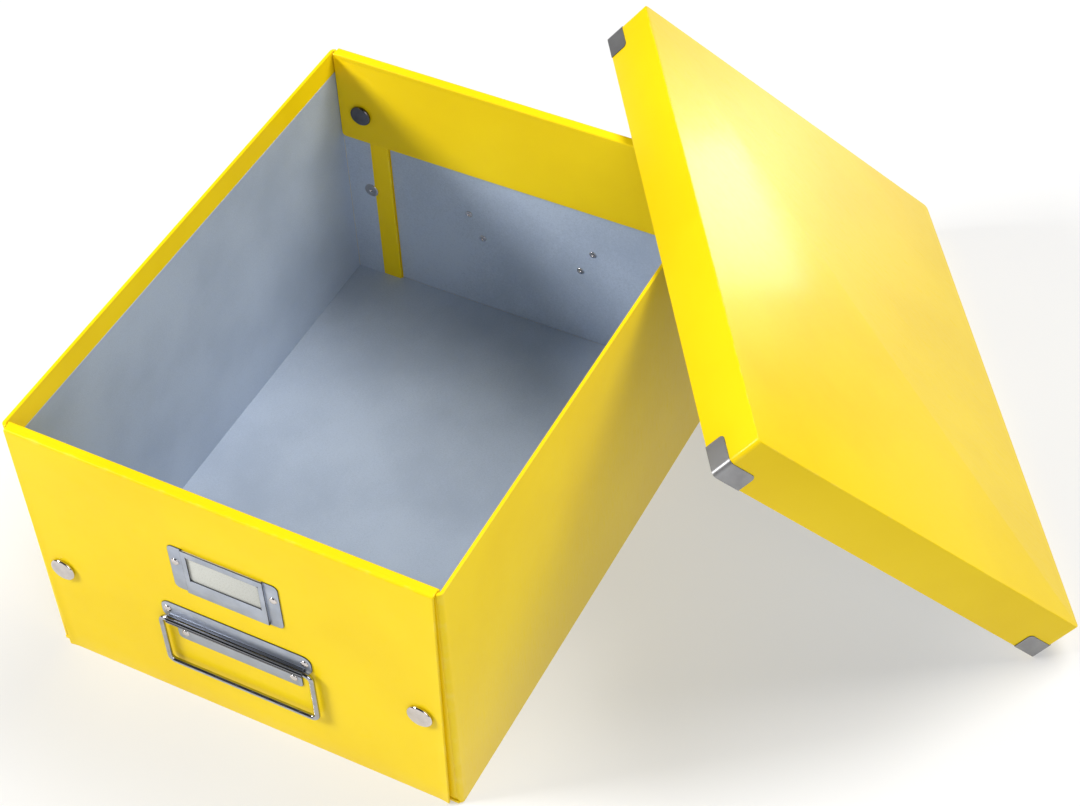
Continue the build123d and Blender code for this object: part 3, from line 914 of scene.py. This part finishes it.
topLow, topHigh = lidBox("lid_top")
rimHeight = lidBox("lid_lower_skirt")[0].z
bm = tray(Vector((topLow.x, topLow.y, rimHeight)), topHigh, board, lidLook["corner"],
          lidLook["topRound"], lidLook["rimRound"])
finishPiece(bm, "lid_cover", ["lid_top", "lid_upper_skirt", "lid_lower_skirt", "lid_front_skirt",
                              "lid_back_skirt"], lidTurn, folds=boardFold)
liningLow, liningHigh = lidBox("lid_lining")
bm = tray(liningLow, liningHigh, paperLook["thick"], lidLook["liningCorner"], 0, 0)
finishPiece(bm, "lid_lining_paper", ["lid_lining"], lidTurn)


def lidIronsPiece():
    look = lidLook
    low, high = lidBox("lid_corner_irons")
    middle = (topLow + topHigh) / 2
    thick = look["ironThick"]
    skin = look["ironSkin"]
    leg = look["ironLeg"]
    tall = high.z - low.z
    x, y = topHigh.x - middle.x, topHigh.y - middle.y
    outline = [(x - leg, y + thick), (x + thick, y + thick), (x + thick, y - leg),
               (x + skin, y - leg), (x + skin, y + skin), (x - leg, y + skin)]
    bm = bmesh.new()
    for handX in (-1, 1):
        for handY in (-1, 1):
            one = bmesh.new()
            prism(one, outline, tall, [(1, look["corner"] + thick), (4, look["corner"] + skin)], 8)
            tips = [e for e in sharpEdges(one) if all(v.co.z > tall - 0.01 * mm for v in e.verts)
                    and e.calc_length() < 1.2 * thick]
            roundEdges(one, tips, look["ironCorner"], 6)
            roundEdges(one, sharpEdges(one), look["ironEdge"], 1)
            bmesh.ops.scale(one, vec=(handX, handY, 1), verts=one.verts)
            bmesh.ops.translate(one, vec=(middle.x, middle.y, low.z), verts=one.verts)
            bmesh.ops.recalc_face_normals(one, faces=one.faces)
            join(bm, one)
    finishPiece(bm, "lid_irons", ["lid_corner_irons"], lidTurn, folds=plateFold, look=dullIron)


lidIronsPiece()
print("lid made")

# ---- CAD nodes that keep their own shape

for node in ("base_panel", "inner_snap_studs"):
    for materialSlot in frame["nodes"][node].material_slots:
        materialSlot.material = looks[slotOf[node]]

# ---- Camera, light and floor

cameraLook = {"place": (0.5426, -0.7894, 1.127), "target": (0.0789, 0.0392, 0.095),
              "roll": -2.87, "lens": 77.82, "sensor": 36}
camera = bpy.data.objects.new("camera", bpy.data.cameras.new("camera"))
scene.collection.objects.link(camera)
camera.location = cameraLook["place"]
aim = (Vector(cameraLook["target"]) - camera.location).to_track_quat("-Z", "Y")
camera.rotation_euler = (aim @ Quaternion((0, 0, 1), radians(cameraLook["roll"]))).to_euler()
camera.data.lens = cameraLook["lens"]
camera.data.sensor_width = cameraLook["sensor"]
scene.camera = camera

# Each softbox: the way it lies from the box, its distance, its sides and its power in watts
softboxes = {
    "key": {"from": (-1, -0.66, 0.8), "distance": 2.6, "sides": (0.7, 0.7), "power": 60},
    "overhead": {"from": (0.3, 0.5, 1.0), "distance": 2.4, "sides": (1.6, 1.2), "power": 55},
    "fill": {"from": (0.9, -1.0, 0.7), "distance": 2.6, "sides": (1.5, 1.5), "power": 21},
}
lampCentre = Vector((0.08, 0, 0.1))
worldLook = {"colour": (0.95, 0.97, 1, 1), "strength": 0.05}
gleamLook = {"place": (0.24, 0.9, 0.13), "sides": (0.2, 0.3), "power": 1.7}


def addSoftbox(name, place, away, sides, power):
    light = bpy.data.lights.new(name, "AREA")
    light.shape = "RECTANGLE"
    light.size, light.size_y = sides
    light.energy = power
    lamp = bpy.data.objects.new(name, light)
    scene.collection.objects.link(lamp)
    lamp.location = place
    lamp.rotation_euler = away.to_track_quat("Z", "Y").to_euler()
    lamp.visible_camera = False
    return lamp


for name, look in softboxes.items():
    away = Vector(look["from"]).normalized()
    addSoftbox(name, away * look["distance"] + lampCentre, away, look["sides"],
               look["power"])
# A small standing softbox that only gleams on the lid's film
gleam = addSoftbox("gleam", gleamLook["place"], Vector((0, 1, 0)), gleamLook["sides"],
                   gleamLook["power"])
gleam.visible_diffuse = False

world = bpy.data.worlds.new("studio")
world.use_nodes = True
background = world.node_tree.nodes["Background"]
background.inputs["Color"].default_value = worldLook["colour"]
background.inputs["Strength"].default_value = worldLook["strength"]
scene.world = world

floorMesh = bpy.data.meshes.new("floor")
bm = bmesh.new()
bmesh.ops.create_grid(bm, x_segments=1, y_segments=1, size=floorLook["half"])
bmesh.ops.translate(bm, vec=(0, 0, -floorLook["below"]), verts=bm.verts)
bm.to_mesh(floorMesh)
bm.free()
floorMesh.materials.append(studioFloor())
floor = bpy.data.objects.new("floor", floorMesh)
scene.collection.objects.link(floor)
print("camera, light and floor placed")
